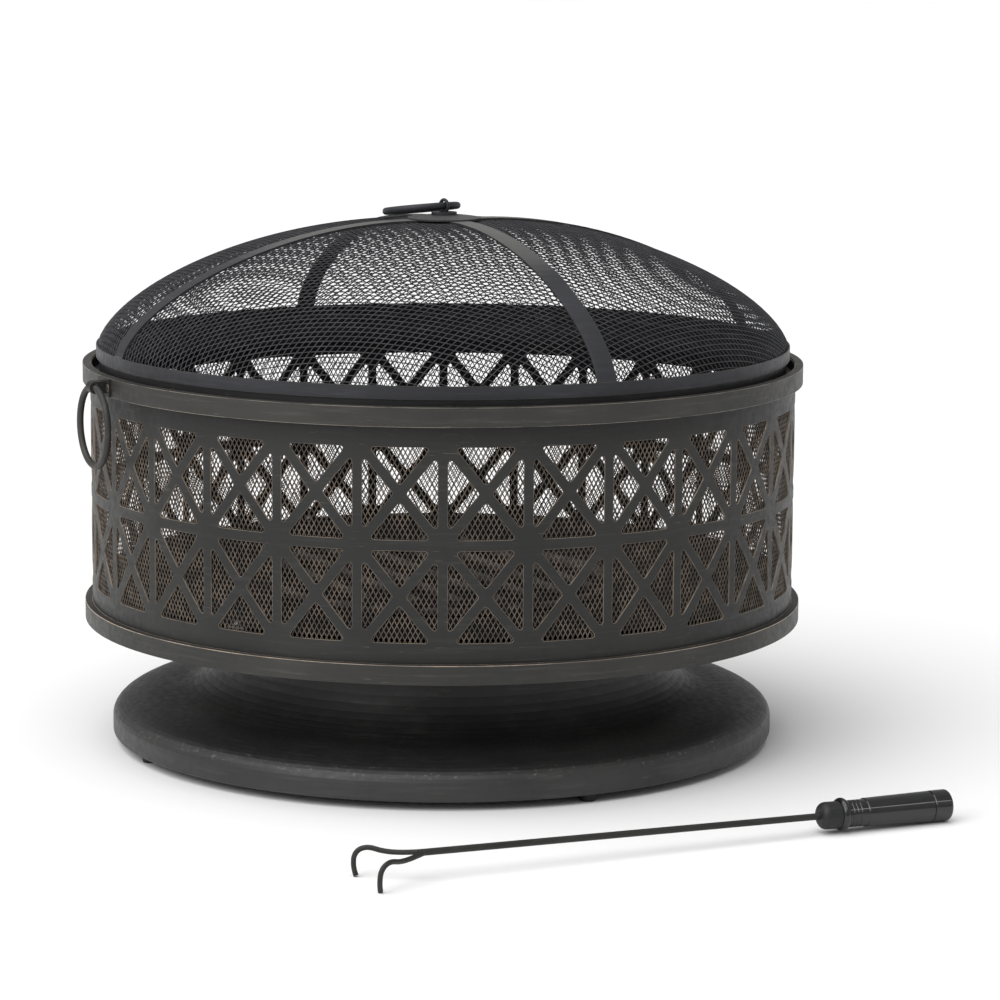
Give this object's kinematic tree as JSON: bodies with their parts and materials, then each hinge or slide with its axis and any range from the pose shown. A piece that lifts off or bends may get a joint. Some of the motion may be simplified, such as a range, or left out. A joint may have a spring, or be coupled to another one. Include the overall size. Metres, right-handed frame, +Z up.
{
  "type": "fire pit with grate",
  "caption": "Round steel fire pit: pierced drum on a dished pedestal, domed mesh spark screen with lifting ring, side ring handles, log grate and a two-pronged poker.",
  "frame": {"origin": "on the floor under the centre of the drum and pedestal", "axes": "+Z up; the two ring handles are on the X axis; the poker lies in front, on the -Y side, nearly along X"},
  "size_m": [0.8002, 0.9521, 0.5755],
  "materials": {
    "charcoal_paint": "satin charcoal-bronze powder coat, hand rubbed with copper along its edges",
    "mesh_paint": "satin near-black heat-resistant paint on mesh strands",
    "screen_paint": "satin dark grey heat-resistant paint",
    "bowl_enamel": "matt black heat-resistant paint with a brown cast",
    "grate_steel": "matt black heat-resistant paint",
    "zinc_hardware": "dull zinc plate",
    "poker_steel": "satin black paint on steel rod",
    "poker_handle": "semi-gloss dark grey moulded grip",
    "poker_nose": "matt dark grey moulding",
    "foot_plastic": "matt black moulded glide"
  },
  "bodies": {
    "pit": {"feet": "foot_plastic", "foot_screws": "zinc_hardware", "foot_nuts": "zinc_hardware", "base_pedestal": "charcoal_paint", "pedestal_bolts": "zinc_hardware", "pedestal_nuts": "zinc_hardware", "drum_floor": "charcoal_paint", "bottom_band": "charcoal_paint", "drum_wall": "charcoal_paint", "wall_mesh": "mesh_paint", "rim_band": "charcoal_paint", "screen_ledge": "charcoal_paint", "fire_bowl": "bowl_enamel", "bowl_standoffs": "zinc_hardware", "standoff_rivets": "zinc_hardware", "bowl_screws": "zinc_hardware", "bowl_nuts": "zinc_hardware", "handle_bracket_left": "charcoal_paint", "handle_bracket_right": "charcoal_paint", "handle_rivets": "charcoal_paint"},
    "handle_left": {"handle_ring_left": "charcoal_paint"},
    "handle_right": {"handle_ring_right": "charcoal_paint"},
    "grate": {"grate_ring": "grate_steel", "grate_bars": "grate_steel", "grate_legs": "grate_steel"},
    "screen": {"screen_ring": "screen_paint", "screen_mesh": "mesh_paint", "mesh_clamp_ring": "screen_paint", "screen_tabs": "screen_paint", "rib_front": "screen_paint", "rib_rear": "screen_paint", "rib_left": "screen_paint", "rib_right": "screen_paint", "crown_plate": "screen_paint", "inner_plate": "screen_paint", "crown_washer": "screen_paint", "eye_bolt": "screen_paint", "eye_nut": "screen_paint"},
    "lifting_ring": {"lift_ring": "screen_paint"},
    "poker": {"poker_shaft": "poker_steel", "poker_fork": "poker_steel", "poker_ferrule": "poker_nose", "poker_collar": "poker_handle", "poker_grip": "poker_handle", "poker_cap": "poker_handle"}
  },
  "joints": [
    {"name": "screen_lift", "type": "slide", "parent": "pit", "child": "screen", "axis": [0, 0, 1], "range_m": [0, 0.35]},
    {"name": "lift_ring_swing", "type": "hinge", "parent": "screen", "child": "lifting_ring", "pos_m": [0, 0, 0.56748], "axis": [0.9703, 0.2419, 0], "range_deg": [0, 160]},
    {"name": "handle_left_swing", "type": "hinge", "parent": "pit", "child": "handle_left", "pos_m": [-0.3938, 0, 0.3956], "axis": [0, 1, 0], "range_deg": [-5, 175]},
    {"name": "handle_right_swing", "type": "hinge", "parent": "pit", "child": "handle_right", "pos_m": [0.3938, 0, 0.3956], "axis": [0, -1, 0], "range_deg": [-5, 175]},
    {"name": "grate_lift", "type": "slide", "parent": "pit", "child": "grate", "axis": [0, 0, 1], "range_m": [0, 0.25]},
    {"name": "poker_lift", "type": "slide", "parent": "pit", "child": "poker", "axis": [0, 0, 1], "range_m": [0, 0.3]}
  ]
}
